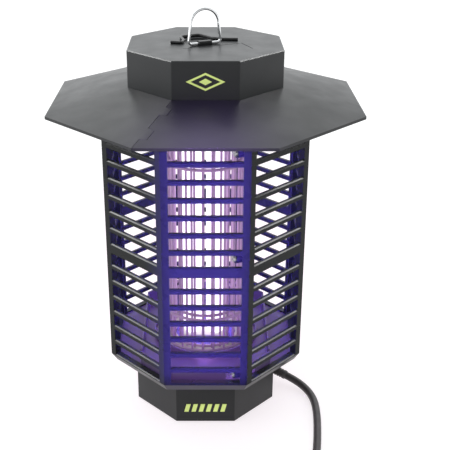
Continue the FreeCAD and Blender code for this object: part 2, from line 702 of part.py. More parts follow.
def make_cap():
    """The octagonal cap: a chamfered box open below, recessed behind the bail, with a fine line."""
    body = new_body("cap_shell")
    octagon_pad(body, "block", "roof_top", "cap_top", "cap_wide")
    doc.recompute()
    rim = []
    for number, edge in enumerate(body.Tip.Shape.Edges, start=1):
        if edge.BoundBox.ZMax > dim("cap_top") - 0.01:
            rim.append("Edge%d" % number)
    block_feature = body.Tip
    chamfer = body.newObject("PartDesign::Chamfer", "bevels")
    chamfer.Base = (block_feature, rim)
    chamfer.Size = dim("cap_chamfer")
    body.Tip = chamfer
    octagon_pocket(body, "inside", "roof_top", "cap_top - cap_thick", "cap_wide - 2 * wall_thick")
    for step, angle in enumerate(CAP_SCREWS):
        foot = on_circle(dim("screw_circle"), angle, dim("roof_top"))
        body_cylinder(body, "boss%d" % step, foot, "boss_radius", "cap_top - roof_top - cap_thick")
        body_cylinder(body, "boss_hole%d" % step, foot - UP, "screw_radius + screw_play", "11", cut=True)
    recess = new_sketch(body, "recess_outline", level="cap_top")
    left, right = bail_point(-9.0, 3.2), bail_point(9.0, 3.2)
    tip = bail_point(0.0, 26.0)
    recess.addGeometry(Part.LineSegment(V(right.x, right.y, 0), V(left.x, left.y, 0)), False)
    recess.addGeometry(Part.Arc(V(left.x, left.y, 0), V(tip.x, tip.y, 0), V(right.x, right.y, 0)), False)
    recess.addConstraint(Sketcher.Constraint("Coincident", 0, 1, 1, 1))
    recess.addConstraint(Sketcher.Constraint("Coincident", 0, 2, 1, 2))
    pocket(body, "recess", recess, "1.2", along_normal=False)
    line = new_sketch(body, "line_outline", level="cap_top")
    path = [(-21.2, -5.6), (30.6, -5.6), (30.6, -26.2), (30.0, -26.2), (30.0, -6.2), (-21.2, -6.2)]
    points = [bail_point(along, back) for along, back in path]
    close_lines(line, [V(point.x, point.y, 0) for point in reversed(points)])
    body.Tip = pocket(body, "fine_line", line, "0.5", along_normal=False)
    return finished(body, "cap_shell")


def make_cap_screws():
    level = dim("cage_top") - dim("head_high")
    return group("cap_screws", [
        screw("cap_screw%d" % step, on_circle(dim("screw_circle"), angle, level), UP, "28")
        for step, angle in enumerate(CAP_SCREWS)
    ])


# ---------------------------------------------------------------- bail

def hinge_level():
    return dim("wire_radius") + 0.15


def make_bail():
    """The wire bail: a closed loop whose bottom bar turns in the saddle. It is modelled standing up."""
    foot, radius = dim("bail_half_foot"), dim("bail_arch_radius")
    low = hinge_level()
    high = low + dim("bail_arch_high")

    def at(along, level):
        return bail_point(along, 0, level)

    slant = math.atan2(foot - radius, high - low)
    corner = dim("foot_bend")
    reach = corner * math.tan(math.radians(90) / 2 - slant / 2 + slant)
    edges = []
    for side in (-1, 1):
        start = at(side * (foot - reach), low)
        leg = (at(side * radius, high) - at(side * foot, low)).normalize()
        end = at(side * foot, low) + leg * reach
        centre_way = (start - at(side * foot, low)).normalize() + leg
        middle_reach = math.hypot(reach, corner) - corner
        middle = at(side * foot, low) + centre_way.normalize() * middle_reach
        edges.append((start, middle, end))
    halves = []
    middle, top = at(0, low), at(0, high + radius)
    for side, (start, bend, end) in zip((-1, 1), edges):
        share = math.radians(45)
        shoulder = at(side * radius * math.cos(share), high + radius * math.sin(share))
        path = Part.Wire([
            Part.LineSegment(middle, start).toShape(),
            Part.Arc(start, bend, end).toShape(),
            Part.LineSegment(end, at(side * radius, high)).toShape(),
            Part.Arc(at(side * radius, high), shoulder, top).toShape(),
        ])
        ring = Part.Wire([Part.Circle(middle, turned(1, 0, dim("bail_turn")), dim("wire_radius")).toShape()])
        halves.append(path.makePipeShell([ring], True, False))
    return feature("hanger_bail", halves[0].fuse(halves[1]).removeSplitter())


def make_saddle():
    """A bridge moulded over the middle of the bail's bottom bar, which turns in its bore."""
    low = hinge_level()
    long, deep = dim("saddle_long"), dim("saddle_deep")
    high = low + dim("wire_radius") + 1.0
    shape = Part.makeBox(long, deep, high, V(-long / 2, -deep / 2, 0))
    top = [edge for edge in shape.Edges if edge.BoundBox.ZMin > high - 0.01]
    shape = shape.makeFillet(1.6, [edge for edge in top if edge.BoundBox.YLength < 0.01])
    bore = dim("wire_radius") + dim("pin_play")
    shape = shape.cut(Part.makeCylinder(bore, long + 2, V(-long / 2 - 1, 0, low), V(1, 0, 0)))
    item = feature("bail_saddle", shape)
    item.Placement = FreeCAD.Placement(bail_point(0, 0), FreeCAD.Rotation(UP, dim("bail_turn")))
    return item


def make_retainer():
    """A black spring wire behind the bail, with a loop at the back and a tail at each side."""
    radius = 1.2
    places = ((-23.5, 15), (-16.2, 9.5), (-11.5, 17), (-9.5, 30),
              (8.5, 32), (13.5, 15), (19.5, 9.2), (31, 3.5))
    path = [bail_point(along, back, radius) for along, back in places]
    return feature("bail_retainer", rounded_tube(path, radius, [1.9, 4, 4, 5, 5, 4]))


# ---------------------------------------------------------------- badges

def prism(points, back, depth):
    """A flat plate on the front flat, outlined by points given across and up."""
    outline = [V(across, back, up) for across, up in points]
    face = Part.Face(Part.makePolygon(outline + outline[:1]))
    return face.extrude(V(0, -depth, 0))


def make_badges():
    """Plain raised marks: a pointed frame round a small lozenge on the cap, slanted bars on the base."""
    front = -dim("cap_wide") / 2
    level = 314.2
    outer = prism([(-15, level), (0, level - 7), (15, level), (0, level + 7)], front, 0.5)
    inner = prism([(-11.4, level), (0, level - 5.3), (11.4, level), (0, level + 5.3)], front + 1, 2)
    core = prism([(-5, level), (0, level - 2.6), (5, level), (0, level + 2.6)], front, 0.5)
    feature("cap_badge", Part.makeCompound([outer.cut(inner), core]))
    bars = []
    front = -dim("base_wide") / 2
    for step in range(6):
        left = -18.9 + 6.4 * step
        corners = [(left, 12.4), (left + 3.8, 12.4), (left + 5.8, 20.4), (left + 2, 20.4)]
        bars.append(prism(corners, front, 0.5))
    return feature("base_badge", Part.makeCompound(bars))


# ---------------------------------------------------------------- mains cord

ROUTE = [  # the cord's centreline from the boot's tip to the coil, chosen by hand
    (77.2, -1.0, 8.4), (86.0, -6.5, 6.3), (93.1, -14.4, 4.8), (98.2, -24.2, 3.9), (100.8, -37.2, 3.6),
    (100.7, -54.2, 3.6), (98.9, -74.0, 3.6), (95.8, -98.0, 3.6), (91.4, -121.5, 3.7), (87.2, -150.0, 4.1),
    (85.5, -178.0, 4.1),
]
TAIL = [(40.0, -225.5, 11.0), (28.5, -226.2, 9.8), (16.5, -229.5, 8.6)]
COIL_MIDDLE = V(40, -180, 0)
PLUG_END = V(16.5, -229.5, 8.6)


def widest_radii(points):
    """The largest arc that each corner's two runs allow."""
    radii = []
    for before, corner, after in zip(points, points[1:], points[2:]):
        first, second = corner - before, after - corner
        turn = first.getAngle(second)
        radii.append(0.45 * min(first.Length, second.Length) / math.tan(turn / 2))
    return radii


def rounded_tube(points, radius, bends):
    """A round tube along straight runs joined by arcs that touch both runs."""
    edges = []
    start = points[0]
    for before, corner, after, bend in zip(points, points[1:], points[2:], bends):
        back, ahead = (before - corner).normalize(), (after - corner).normalize()
        half = (math.pi - back.getAngle(ahead)) / 2
        reach = bend * math.tan(half)
        first, last = corner + back * reach, corner + ahead * reach
        middle = corner + (back + ahead).normalize() * (bend / math.cos(half) - bend)
        if (first - start).Length > 1e-6:
            edges.append(Part.LineSegment(start, first).toShape())
        edges.append(Part.Arc(first, middle, last).toShape())
        start = last
    edges.append(Part.LineSegment(start, points[-1]).toShape())
    wire = Part.Wire(edges)
    ring = Part.Wire([Part.Circle(points[0], points[1] - points[0], radius).toShape()])
    tube = wire.makePipeShell([ring], True, False)
    error = tube.Volume / (math.pi * radius ** 2 * wire.Length) - 1
    rounded = [round(bend, 1) for bend in bends]
    print("tube length %.1f, bends %s, volume error %.4f" % (wire.Length, rounded, error))
    return tube


def feature(label, shape):
    """A sub-part made with Part's own functions, its sizes read from the sheet."""
    item = doc.addObject("Part::Feature", label + "_shape")
    item.Shape = shape
    return finished(item, label)


def feature_group(label, shapes):
    return feature(label, Part.makeCompound(shapes))


def make_strain_relief():
    """The tapered boot: a collar through the housing's wall, a flange and a cone that droops to the floor."""
    root = V(dim("base_wide") / 2, dim("exit_side"), dim("exit_level"))
    along = V(1, 0, 0)
    collar = Part.makeCylinder(5, 8.2, root - along * 5, along)
    flange = Part.makeCylinder(6.6, 1.8, root, along)
    start = root + along * 0.5
    axis = V(*ROUTE[0]) - start
    cone = Part.makeCone(4.7, dim("cord_radius") + 0.6, axis.Length, start, axis)
    return feature("strain_relief", collar.fuse([flange, cone]).removeSplitter())


def make_cord():
    route = [V(*point) for point in ROUTE]
    feature("power_cord", rounded_tube(route, dim("cord_radius"), widest_radii(route)))
    tail = [V(*point) for point in TAIL]
    feature("cord_tail", rounded_tube(tail, dim("cord_radius"), widest_radii(tail)))
    mean, half = dim("coil_mean_radius"), 3 * dim("cord_radius")
    low, high = dim("coil_low"), 4 * dim("cord_radius")
    outer = Part.makeCylinder(mean + half, high, COIL_MIDDLE + UP * low)
    inner = Part.makeCylinder(mean - half, high + 2, COIL_MIDDLE + UP * (low - 1))
    ring = outer.cut(inner)
    ring = ring.makeFillet(3.0, [edge for edge in ring.Edges if len(edge.Vertexes) == 1])
    feature("cord_coil", ring)
    return make_tie(mean, half, low, high)


def make_tie(mean, half, low, high):
    """A flat band wrapped once round the coil's turns."""
    def sector(radius, level, tall):
        solid = Part.makeCylinder(radius, tall, COIL_MIDDLE + UP * level, UP, 12)
        return solid.rotated(COIL_MIDDLE, UP, 140)

    gap, thick = 0.05, 0.55
    outside = sector(mean + half + thick + gap, 0, high + 2 * low)
    outside = outside.cut(sector(mean - half - thick - gap, -1, high + 3))
    inside = sector(mean + half + gap, low - gap, high + 2 * gap).cut(sector(mean - half - gap, -1, high + 3))
    return feature("cord_tie", outside.cut(inside))


def make_plug():
    """A two-blade mains plug lying beside the coil."""
    back = PLUG_END
    boot = Part.makeCone(4.2, 6.2, 12, back, V(-1, 0, 0))
    body = Part.makeBox(24, 24, 13.6, back + V(-35, -12, -7))
    body = body.makeFillet(3, body.Edges)
    shape = boot.fuse(body).removeSplitter()
    feature("plug_body", shape)
    blades = []
    for side in (-1, 1):
        blade = Part.makeBox(17, 1.5, 6.4, back + V(-52, side * 6.35 - 0.75, -3.4))
        hole = Part.makeCylinder(1.6, 4, back + V(-48.5, side * 6.35 - 2, -0.2), V(0, 1, 0))
        blades.append(blade.cut(hole))
    return feature_group("plug_blades", blades)


# ---------------------------------------------------------------- build, check, write

def build_all():
    fill_sheet()
    make_base_housing()
    make_base_cover()
    make_feet()
    make_base_screws()
    make_cage_floor()
    make_board()
    make_board_parts()
    make_leads()
    make_guard("guard_front", 1)
    make_guard("guard_rear", -1)
    make_guard_screws()
    make_tray()
    make_lamp()
    twist = 270 - 3.3
    make_electrode("outer_electrode", "outer_grid_radius", twist)
    make_electrode("inner_electrode", "inner_grid_radius", twist)
    make_insulators()
    make_deck()
    make_deck_screws()
    make_roof("roof_left", 1)
    make_roof("roof_right", -1)
    make_roof_screws()
    make_cap()
    make_cap_screws()
    make_bail()
    make_saddle()
    make_retainer()
    make_badges()
    make_strain_relief()
    make_cord()
    make_plug()


def check_all():
    """Stops with a message when an object failed or a sub-part has no valid solid."""
    doc.recompute()
    bad = [item.Name for item in doc.Objects if "Invalid" in item.State or "Error" in item.State]
    for item in PARTS:
        if item.Shape.isNull() or not item.Shape.isValid() or not item.Shape.Solids:
            bad.append(item.Label)
    if bad:
        raise RuntimeError("failed: " + ", ".join(bad))


def write_all():
    os.makedirs("parts", exist_ok=True)
    for item in PARTS:
        item.Shape.exportStep(os.path.join("parts", item.Label + ".step"))
        box = item.Shape.BoundBox
        print("%-24s solids %2d volume %9.0f  x %.1f..%.1f y %.1f..%.1f z %.1f..%.1f" % (
            item.Label, len(item.Shape.Solids), item.Shape.Volume,
            box.XMin, box.XMax, box.YMin, box.YMax, box.ZMin, box.ZMax))


build_all()
check_all()
write_all()
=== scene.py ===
"""Looks of the octagonal bug zapper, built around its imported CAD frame.

The cord's route and the profiles of turned and lofted pieces are in millimetres; the rest is in metres.
"""
import math

import bmesh
import bpy
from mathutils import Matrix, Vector
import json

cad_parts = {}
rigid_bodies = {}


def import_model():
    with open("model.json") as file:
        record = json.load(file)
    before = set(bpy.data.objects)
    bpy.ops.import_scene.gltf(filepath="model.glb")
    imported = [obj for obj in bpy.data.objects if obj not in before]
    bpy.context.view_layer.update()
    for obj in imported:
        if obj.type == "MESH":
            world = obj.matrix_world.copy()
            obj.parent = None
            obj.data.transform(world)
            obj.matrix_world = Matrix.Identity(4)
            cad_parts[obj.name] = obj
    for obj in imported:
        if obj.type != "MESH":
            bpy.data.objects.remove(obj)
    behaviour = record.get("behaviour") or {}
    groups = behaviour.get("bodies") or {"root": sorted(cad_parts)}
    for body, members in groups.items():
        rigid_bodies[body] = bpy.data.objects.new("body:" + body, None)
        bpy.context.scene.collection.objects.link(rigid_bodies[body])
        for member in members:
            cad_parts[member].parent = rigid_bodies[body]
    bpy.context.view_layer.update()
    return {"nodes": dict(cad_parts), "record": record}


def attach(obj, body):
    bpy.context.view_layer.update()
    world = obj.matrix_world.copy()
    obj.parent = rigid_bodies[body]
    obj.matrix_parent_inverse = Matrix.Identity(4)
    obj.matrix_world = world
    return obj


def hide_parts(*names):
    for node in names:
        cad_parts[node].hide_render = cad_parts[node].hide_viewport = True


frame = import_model()

MM = 0.001
LANTERN = "lantern"
UP = Vector((0, 0, 1))
WELD_DISTANCE = 1e-6
FLAT_ANGLE = math.radians(1)

# ---------------------------------------------------------------- camera

CAMERA_PLACE = (0.0, -0.6966, 0.4872)
CAMERA_PITCH = 22.91
CAMERA_LENS = 69.0
CAMERA_SHIFT = (0.0433, -0.0607)


def link(item):
    bpy.context.scene.collection.objects.link(item)
    return item


def make_camera():
    data = bpy.data.cameras.new("camera")
    data.lens = CAMERA_LENS
    data.sensor_width = 36
    data.shift_x, data.shift_y = CAMERA_SHIFT
    data.clip_start = 0.02
    camera = link(bpy.data.objects.new("camera", data))
    camera.location = CAMERA_PLACE
    camera.rotation_euler = (math.radians(90 - CAMERA_PITCH), 0, 0)
    bpy.context.scene.camera = camera


make_camera()

# ---------------------------------------------------------------- material helpers


class Nodes:
    """A short way to write a node tree."""

    def __init__(self, tree):
        self.tree = tree

    def add(self, kind, **settings):
        node = self.tree.nodes.new(kind)
        for name, value in settings.items():
            setattr(node, name, value)
        return node

    def wire(self, source, target):
        self.tree.links.new(source, target)

    def maths(self, operation, first, second=None):
        node = self.add("ShaderNodeMath", operation=operation)
        for socket, value in zip(node.inputs, (first, second)):
            if value is None:
                continue
            if isinstance(value, (int, float)):
                socket.default_value = value
            else:
                self.wire(value, socket)
        return node.outputs[0]


def new_material(name):
    """A material with one Principled shader; returns the material, its nodes and the shader."""
    material = bpy.data.materials.new(name)
    material.use_nodes = True
    nodes = Nodes(material.node_tree)
    shader = material.node_tree.nodes["Principled BSDF"]
    return material, nodes, shader


def set_inputs(shader, **values):
    """Sets the shader's own sockets, named with underscores for spaces."""
    for name, value in values.items():
        shader.inputs[name.replace("_", " ")].default_value = value


def noise(nodes, scale, detail=3.0, stretch=None):
    """Noise over the object's own coordinates, its scale in cells per metre."""
    place = nodes.add("ShaderNodeTexCoord").outputs["Object"]
    if stretch:
        mapping = nodes.add("ShaderNodeMapping")
        mapping.inputs["Scale"].default_value = stretch
        nodes.wire(place, mapping.inputs["Vector"])
        place = mapping.outputs["Vector"]
    texture = nodes.add("ShaderNodeTexNoise")
    texture.inputs["Scale"].default_value = scale
    texture.inputs["Detail"].default_value = detail
    nodes.wire(place, texture.inputs["Vector"])
    return texture.outputs["Fac"]


def ramp(nodes, source, low, high, start=0.3, end=0.7):
    """Maps a texture's value to a range of numbers or between two colours."""
    node = nodes.add("ShaderNodeMapRange")
    node.inputs["From Min"].default_value = start
    node.inputs["From Max"].default_value = end
    nodes.wire(source, node.inputs["Value"])
    if isinstance(low, (int, float)):
        node.inputs["To Min"].default_value = low
        node.inputs["To Max"].default_value = high
        return node.outputs["Result"]
    mix = nodes.add("ShaderNodeMix", data_type="RGBA")
    mix.inputs["A"].default_value = (*low, 1)
    mix.inputs["B"].default_value = (*high, 1)
    node.inputs["To Min"].default_value = 0
    node.inputs["To Max"].default_value = 1
    nodes.wire(node.outputs["Result"], mix.inputs["Factor"])
    return mix.outputs["Result"]


def add_bump(nodes, shader, height, distance, strength=0.4):
    """Fine relief from a height map, its depth in metres."""
    bump = nodes.add("ShaderNodeBump")
    bump.inputs["Distance"].default_value = distance
    bump.inputs["Strength"].default_value = strength
    nodes.wire(height, bump.inputs["Height"])
    nodes.wire(bump.outputs["Normal"], shader.inputs["Normal"])


def moulded_plastic(name, colour, roughness, grain=1400, depth=0.00004, specular=0.5):
    """Satin moulded plastic: a fine spark-eroded grain, faint flow mottling and uneven gloss."""
    material, nodes, shader = new_material(name)
    mottling = noise(nodes, 28, 4)
    darker = tuple(channel * 0.86 for channel in colour)
    nodes.wire(ramp(nodes, mottling, darker, colour), shader.inputs["Base Color"])
    uneven = ramp(nodes, noise(nodes, 60, 5), roughness - 0.035, roughness + 0.045)
    nodes.wire(uneven, shader.inputs["Roughness"])
    set_inputs(shader, Specular_IOR_Level=specular)
    add_bump(nodes, shader, noise(nodes, grain, 2), depth)
    return material


def plain_metal(name, colour, roughness, brushed=(1, 1, 1), scale=700):
    """Bare metal with fine brush marks, stretched along an axis by a small number in brushed."""
    material, nodes, shader = new_material(name)
    set_inputs(shader, Metallic=1.0)
    brush = noise(nodes, scale, 3, brushed)
    darker = tuple(channel * 0.82 for channel in colour)
    nodes.wire(ramp(nodes, brush, darker, colour), shader.inputs["Base Color"])
    nodes.wire(ramp(nodes, brush, roughness * 0.8, roughness * 1.3), shader.inputs["Roughness"])
    return material


def soft_rubber(name, colour, roughness):
    """Matt rubber with faint lighter bloom and a fine grain."""
    material, nodes, shader = new_material(name)
    lighter = tuple(channel * 1.25 for channel in colour)
    nodes.wire(ramp(nodes, noise(nodes, 90, 4), colour, lighter), shader.inputs["Base Color"])
    uneven = ramp(nodes, noise(nodes, 200, 4), roughness - 0.05, roughness + 0.08)
    nodes.wire(uneven, shader.inputs["Roughness"])
    add_bump(nodes, shader, noise(nodes, 1800, 2), 0.00003)
    return material


def glowing_glass(name, colour, strength):
    """Frosted lamp glass lit from inside, a little dimmer in faint bands of its coating."""
    material, nodes, shader = new_material(name)
    set_inputs(shader, Base_Color=(0.9, 0.88, 0.95, 1), Roughness=0.25, Emission_Strength=strength)
    coating = noise(nodes, 60, 3, (1, 1, 0.3))
    dimmer = tuple(channel * 0.9 for channel in colour)
    nodes.wire(ramp(nodes, coating, dimmer, colour), shader.inputs["Emission Color"])
    return material


GUARD = moulded_plastic("guard_plastic", (0.0062, 0.0068, 0.0072), 0.28, specular=0.12)
CHARCOAL = moulded_plastic("charcoal_plastic", (0.0135, 0.0145, 0.0155), 0.36, specular=0.3)
BLACK = moulded_plastic("black_plastic", (0.010, 0.010, 0.011), 0.34)
WHITE = moulded_plastic("white_plastic", (0.78, 0.76, 0.75), 0.4)
GREEN = moulded_plastic("board_green", (0.02, 0.13, 0.05), 0.35, grain=500, depth=0.0001)
LIME = moulded_plastic("lime_paint", (0.80, 0.95, 0.28), 0.42, grain=2500)
COPPER = moulded_plastic("copper_enamel", (0.42, 0.15, 0.04), 0.3, grain=600, depth=0.0002)
BLUE = moulded_plastic("capacitor_blue", (0.02, 0.06, 0.25), 0.25)
TAN = moulded_plastic("resistor_tan", (0.45, 0.3, 0.16), 0.35)
RED = moulded_plastic("lead_red", (0.35, 0.02, 0.015), 0.35)
STEEL = plain_metal("screw_steel", (0.62, 0.62, 0.63), 0.28)
CORE = plain_metal("core_steel", (0.22, 0.22, 0.24), 0.45, (1, 1, 12))
# the rods' pink-violet base colour is painted lamp glow; the bare steel itself would be grey
ROD_PAINTED_PINK = moulded_plastic("electrode_steel", (0.50, 0.36, 0.54), 0.35, grain=900)
ROD_PAINTED_PINK.node_tree.nodes["Principled BSDF"].inputs["Metallic"].default_value = 0.35
CHROME = plain_metal("bail_chrome", (0.86, 0.87, 0.88), 0.09)
BRASS = plain_metal("blade_brass", (0.72, 0.6, 0.35), 0.25, (0.4, 3, 3))
RUBBER = soft_rubber("black_rubber", (0.012, 0.012, 0.012), 0.7)
CORD = soft_rubber("cord_rubber", (0.040, 0.034, 0.037), 0.42)
GLASS = glowing_glass("lamp_glass", (1.0, 0.93, 1.0), 1.5)

NODE_MATERIALS = {
    "charcoal_plastic": CHARCOAL, "black_plastic": BLACK, "black_rubber": RUBBER, "screw_steel": STEEL,
    "board_green": GREEN, "core_steel": CORE, "copper_enamel": COPPER, "capacitor_blue": BLUE,
    "resistor_tan": TAN, "fuse_glass": WHITE, "white_plastic": WHITE, "lead_black": BLACK,
    "lead_white": WHITE, "lead_red": RED, "lamp_glass": GLASS, "electrode_steel": ROD_PAINTED_PINK,
    "bail_chrome": CHROME, "retainer_black": BLACK, "lime_paint": LIME, "cord_rubber": CORD,
    "plug_rubber": CORD, "blade_brass": BRASS,
}


def dress(item, material):
    """Gives an object one material."""
    item.data.materials.clear()
    item.data.materials.append(material)
    return item


SLOT_OF = {row["node"]: row["material_slot"] for row in frame["record"]["subparts"]}
for name, node in frame["nodes"].items():
    dress(node, NODE_MATERIALS[SLOT_OF[name]])

# ---------------------------------------------------------------- cord

CORD_RADIUS = 3.5 * MM
ROUTE = [(77.2, -1.0, 8.4), (86.0, -6.5, 6.3), (93.1, -14.4, 4.8), (98.2, -24.2, 3.9),
         (100.8, -37.2, 3.6), (100.7, -54.2, 3.6), (98.9, -74.0, 3.6), (95.8, -98.0, 3.6),
         (91.4, -121.5, 3.7), (87.2, -150.0, 4.1), (85.5, -178.0, 4.1)]
TAIL = [(40.0, -225.5, 11.0), (28.5, -226.2, 9.8), (16.5, -229.5, 8.6)]
COIL_MIDDLE = (40.0, -180.0)
COIL_LEVELS = (4.1, 11.1)
COIL_RADII = (45.0, 38.0, 31.0)
COIL_STEPS = 16
COIL_TURNS = 5.25


def smooth(value):
    """Eases from 0 to 1."""
    value = min(max(value, 0.0), 1.0)
    return value * value * (3 - 2 * value)


def coil_point(turns):
    """A point of the cord: three turns wound inward on the floor, then outward again on top."""
    number, phase = int(turns), turns % 1
    low, high = COIL_LEVELS
    outer, middle, inner = COIL_RADII
    wide = outer - middle
    level = low
    if number < 2:
        radius = COIL_RADII[number] - wide * smooth((phase - 0.7) / 0.3)
    elif number == 2:
        radius = inner
        level = low + (high - low) * smooth((phase - 0.45) / 0.27)
    else:
        level = high
        radius = min(inner + wide * (number - 3 + smooth((phase - 0.15) / 0.3)), outer)
    radius /= math.cos(math.pi / COIL_STEPS)
    angle = -2 * math.pi * turns
    return (COIL_MIDDLE[0] + radius * math.cos(angle), COIL_MIDDLE[1] + radius * math.sin(angle), level)


def make_cord():
    """The mains cord as one curve: out of the boot, round the coil and on to the plug."""
    turns = [coil_point(step / COIL_STEPS) for step in range(1, int(COIL_TURNS * COIL_STEPS))]
    points = ROUTE + turns + TAIL
    curve = bpy.data.curves.new("mains_cord", "CURVE")
    curve.dimensions = "3D"
    curve.bevel_depth = CORD_RADIUS
    curve.bevel_resolution = 5
    curve.resolution_u = 6
    spline = curve.splines.new("NURBS")
    spline.points.add(len(points) - 1)
    for target, point in zip(spline.points, points):
        target.co = (*(value * MM for value in point), 1)
    spline.order_u = 3
    spline.use_endpoint_u = True
    cord = link(bpy.data.objects.new("mains_cord", curve))
    dress(cord, CORD)
    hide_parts("power_cord", "cord_coil", "cord_tail")
    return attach(cord, LANTERN)


cord = make_cord()

# ---------------------------------------------------------------- moulded pieces

EDGE_ROUNDS = {
    "base_housing": 0.6 * MM, "base_bottom_cover": 0.4 * MM, "cage_floor": 0.5 * MM,
    "roof_left": 0.4 * MM, "roof_right": 0.4 * MM, "cap_shell": 0.4 * MM, "catch_tray": 0.4 * MM,
    "top_deck": 0.4 * MM, "lamp_holder": 0.5 * MM, "lamp_cap": 0.6 * MM, "lamp_top_clip": 0.5 * MM,
    "bail_saddle": 0.3 * MM, "cap_badge": 0.12 * MM, "base_badge": 0.12 * MM,
}
BEVEL_ANGLE = math.radians(28)
SLAT_CHAMFER = 0.9 * MM
SHORTEST_SLAT = 10 * MM
BAR_INSET = 0.1 * MM
WALL_REACH = 70 * MM  # the guard's walls stand farther than this from the middle
TOP_RAIL_LEVEL = 270 * MM  # edges above this belong to the top rail, which stays sharp


def add_piece(name, mesh, stands_for, material=None, crease=25):
    """Shows a mesh in the place of one CAD node, in the finish of that node's slot if none is given.

    Edges sharper than crease, in degrees, stay sharp; without a crease the mesh keeps its own normals.
    """
    if crease:
        mesh.polygons.foreach_set("use_smooth", [True] * len(mesh.polygons))
        mesh.set_sharp_from_angle(angle=math.radians(crease))
    piece = link(bpy.data.objects.new(name, mesh))
    dress(piece, material or NODE_MATERIALS[SLOT_OF[stands_for]])
    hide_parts(stands_for)
    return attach(piece, LANTERN)


def welded(node_name, merge_flats):
    """A CAD piece's mesh with its corners joined up, and its flat faces whole if merge_flats."""
    work = bmesh.new()
    work.from_mesh(frame["nodes"][node_name].data)
    bmesh.ops.remove_doubles(work, verts=work.verts, dist=WELD_DISTANCE)
    if merge_flats:
        bmesh.ops.dissolve_limit(work, angle_limit=FLAT_ANGLE, verts=work.verts, edges=work.edges)
    return work


def mesh_of(work, name):
    """A new mesh from a bmesh, which is freed."""
    mesh = bpy.data.meshes.new(name)
    work.to_mesh(mesh)
    work.free()
    return mesh


def with_modifiers(rough):
    """The mesh that an object's modifiers make; the object is removed."""
    shown = bpy.data.meshes.new_from_object(rough.evaluated_get(bpy.context.evaluated_depsgraph_get()))
    bpy.data.objects.remove(rough)
    return shown


def softened(node_name, width):
    """A copy of a CAD piece with rounded edges; it stands for that piece."""
    mesh = frame["nodes"][node_name].data.copy()
    work = welded(node_name, True)
    work.to_mesh(mesh)
    work.free()
    mesh.polygons.foreach_set("use_smooth", [True] * len(mesh.polygons))
    rough = link(bpy.data.objects.new("rough", mesh))
    bevel = rough.modifiers.new("bevel", "BEVEL")
    bevel.width = width
    bevel.segments = 2
    bevel.limit_method = "ANGLE"
    bevel.angle_limit = BEVEL_ANGLE
    rough.modifiers.new("weighted", "WEIGHTED_NORMAL").keep_sharp = True
    return add_piece(node_name + "_moulded", with_modifiers(rough), node_name, crease=None)


def slat_edges(node_name):
    """The outer top edges of a guard's slats, each with the way out of its wall."""
    work = welded(node_name, True)
    work.normal_update()
    found = []
    for edge in work.edges:
        if len(edge.link_faces) != 2 or edge.calc_length() < SHORTEST_SLAT:
            continue
        top, wall = sorted(edge.link_faces, key=lambda face: -face.normal.z)
        start, end = (vertex.co.copy() for vertex in edge.verts)
        outside = wall.normal.dot(Vector((*start.xy, 0))) > WALL_REACH
        if top.normal.z > 0.9 and abs(wall.normal.z) < 0.1 and outside and start.z < TOP_RAIL_LEVEL:
            found.append((start, end, wall.normal.copy()))
    work.free()
    return found


def slat_corners(node_name, width):
    """A three-sided bar over each slat's outer top edge, whose inner side is the chamfer."""
    work = bmesh.new()
    for start, end, out in slat_edges(node_name):
        inset = (end - start).normalized() * BAR_INSET
        rows = []
        for place in (start + inset, end - inset):
            sides = (out - UP * 2, out + UP, UP - out * 2)
            rows.append([work.verts.new(place + side * width) for side in sides])
            work.faces.new(rows[-1])
        for a, b in ((0, 1), (1, 2), (2, 0)):
            work.faces.new((rows[0][a], rows[1][a], rows[1][b], rows[0][b]))
    bmesh.ops.recalc_face_normals(work, faces=work.faces)
    return mesh_of(work, "corners")


def edged_guard(node_name, width):
    """A copy of a guard half with its slats' outer top edges chamfered; it stands for that half."""
    cutter = link(bpy.data.objects.new("corners", slat_corners(node_name, width)))
    rough = link(bpy.data.objects.new("rough", mesh_of(welded(node_name, False), "welded")))
    trim = rough.modifiers.new("corners", "BOOLEAN")
    trim.operation = "DIFFERENCE"
    trim.solver = "MANIFOLD"
    trim.object = cutter
    shown = with_modifiers(rough)
    bpy.data.objects.remove(cutter)
    old_normals = shown.attributes.get("custom_normal")
    if old_normals:
        shown.attributes.remove(old_normals)
    return add_piece(node_name + "_edged", shown, node_name, GUARD)


for node_name, width in EDGE_ROUNDS.items():
    softened(node_name, width)
for node_name in ("guard_front", "guard_rear"):
    edged_guard(node_name, SLAT_CHAMFER)


# ---------------------------------------------------------------- turned and lofted pieces


def skin(rings):
    """A closed mesh over rings of points in millimetres, each joined to the next."""
    work = bmesh.new()
    rows = [[work.verts.new(Vector(point) * MM) for point in ring] for ring in rings]
    count = len(rows[0])
    for low, high in zip(rows, rows[1:]):
        for step in range(count):
            after = (step + 1) % count
            work.faces.new((low[step], low[after], high[after], high[step]))
    work.faces.new(rows[0][::-1])
    work.faces.new(rows[-1])
    bmesh.ops.recalc_face_normals(work, faces=work.faces)
    return mesh_of(work, "skin")


def lathe(start, along, profile, count=40):
    """A turned shape: its profile lists distances along the axis and radii, in millimetres."""
    turn = UP.rotation_difference(Vector(along)).to_matrix()
    start = Vector(start)
    rings = []
    for distance, radius in profile:
        ring = []
        for step in range(count):
            angle = 2 * math.pi * step / count
            place = Vector((radius * math.cos(angle), radius * math.sin(angle), distance))
            ring.append(start + turn @ place)
        rings.append(ring)
    return skin(rings)


def joined(meshes):
    """Several meshes as one."""
    work = bmesh.new()
    for mesh in meshes:
        work.from_mesh(mesh)
        bpy.data.meshes.remove(mesh)
    return mesh_of(work, "joined")


# ---------------------------------------------------------------- lamp

LAMP_MIDDLE, TUBE_SPACING, TUBE_RADIUS = -1.4, 21.0, 8.5
TUBE_LOW, TUBE_HIGH = 60.0, 262.0
BRIDGE_LEVEL, BRIDGE_RADIUS = 248.0, 4.0
DOME_STEPS = 9


